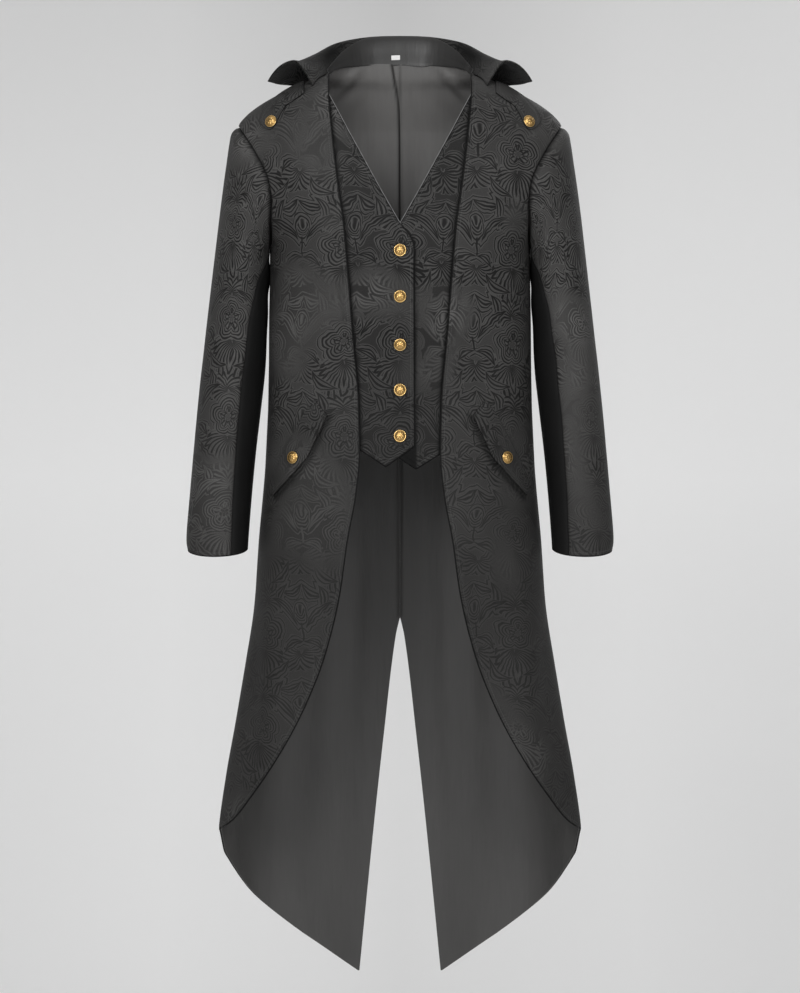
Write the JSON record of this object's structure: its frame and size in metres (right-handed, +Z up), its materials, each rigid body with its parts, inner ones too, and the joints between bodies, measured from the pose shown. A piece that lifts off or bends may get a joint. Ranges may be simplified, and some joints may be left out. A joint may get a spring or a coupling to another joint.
{
  "type": "tailcoat",
  "caption": "Long cutaway tailcoat in its worn, hollow shape, with a rolled standing collar, a sewn-in waistcoat front, buttoned pocket flaps and a split, pointed tail.",
  "frame": {"origin": "middle of the neck opening, at the height of the shoulder neck points", "axes": "+X to the viewer's right, the front of the coat faces -Y, +Z up"},
  "size_m": [0.5814, 0.2712, 1.3052],
  "materials": {
    "brocade": "woven, floral figure",
    "waistcoat_brocade": "woven, floral figure",
    "plain_cloth": "matte",
    "lining": "satin",
    "label": "woven tape",
    "brass": "polished, pressed relief"
  },
  "bodies": {
    "root": {"coat_front_left": "brocade", "coat_front_right": "brocade", "coat_back_left": "brocade", "coat_back_right": "brocade", "back_lining_left": "lining", "back_lining_right": "lining", "vest_front_left": "waistcoat_brocade", "vest_front_right": "waistcoat_brocade", "top_sleeve_left": "brocade", "top_sleeve_right": "brocade", "under_sleeve_left": "plain_cloth", "under_sleeve_right": "plain_cloth", "collar": "brocade", "collar_lining": "lining", "size_label": "label", "pocket_flap_left": "brocade", "pocket_flap_right": "brocade", "shoulder_tab_left": "brocade", "shoulder_tab_right": "brocade", "vest_button_1": "brass", "vest_button_2": "brass", "vest_button_3": "brass", "vest_button_4": "brass", "vest_button_5": "brass", "flap_button_left": "brass", "flap_button_right": "brass", "tab_button_left": "brass", "tab_button_right": "brass"}
  },
  "joints": []
}
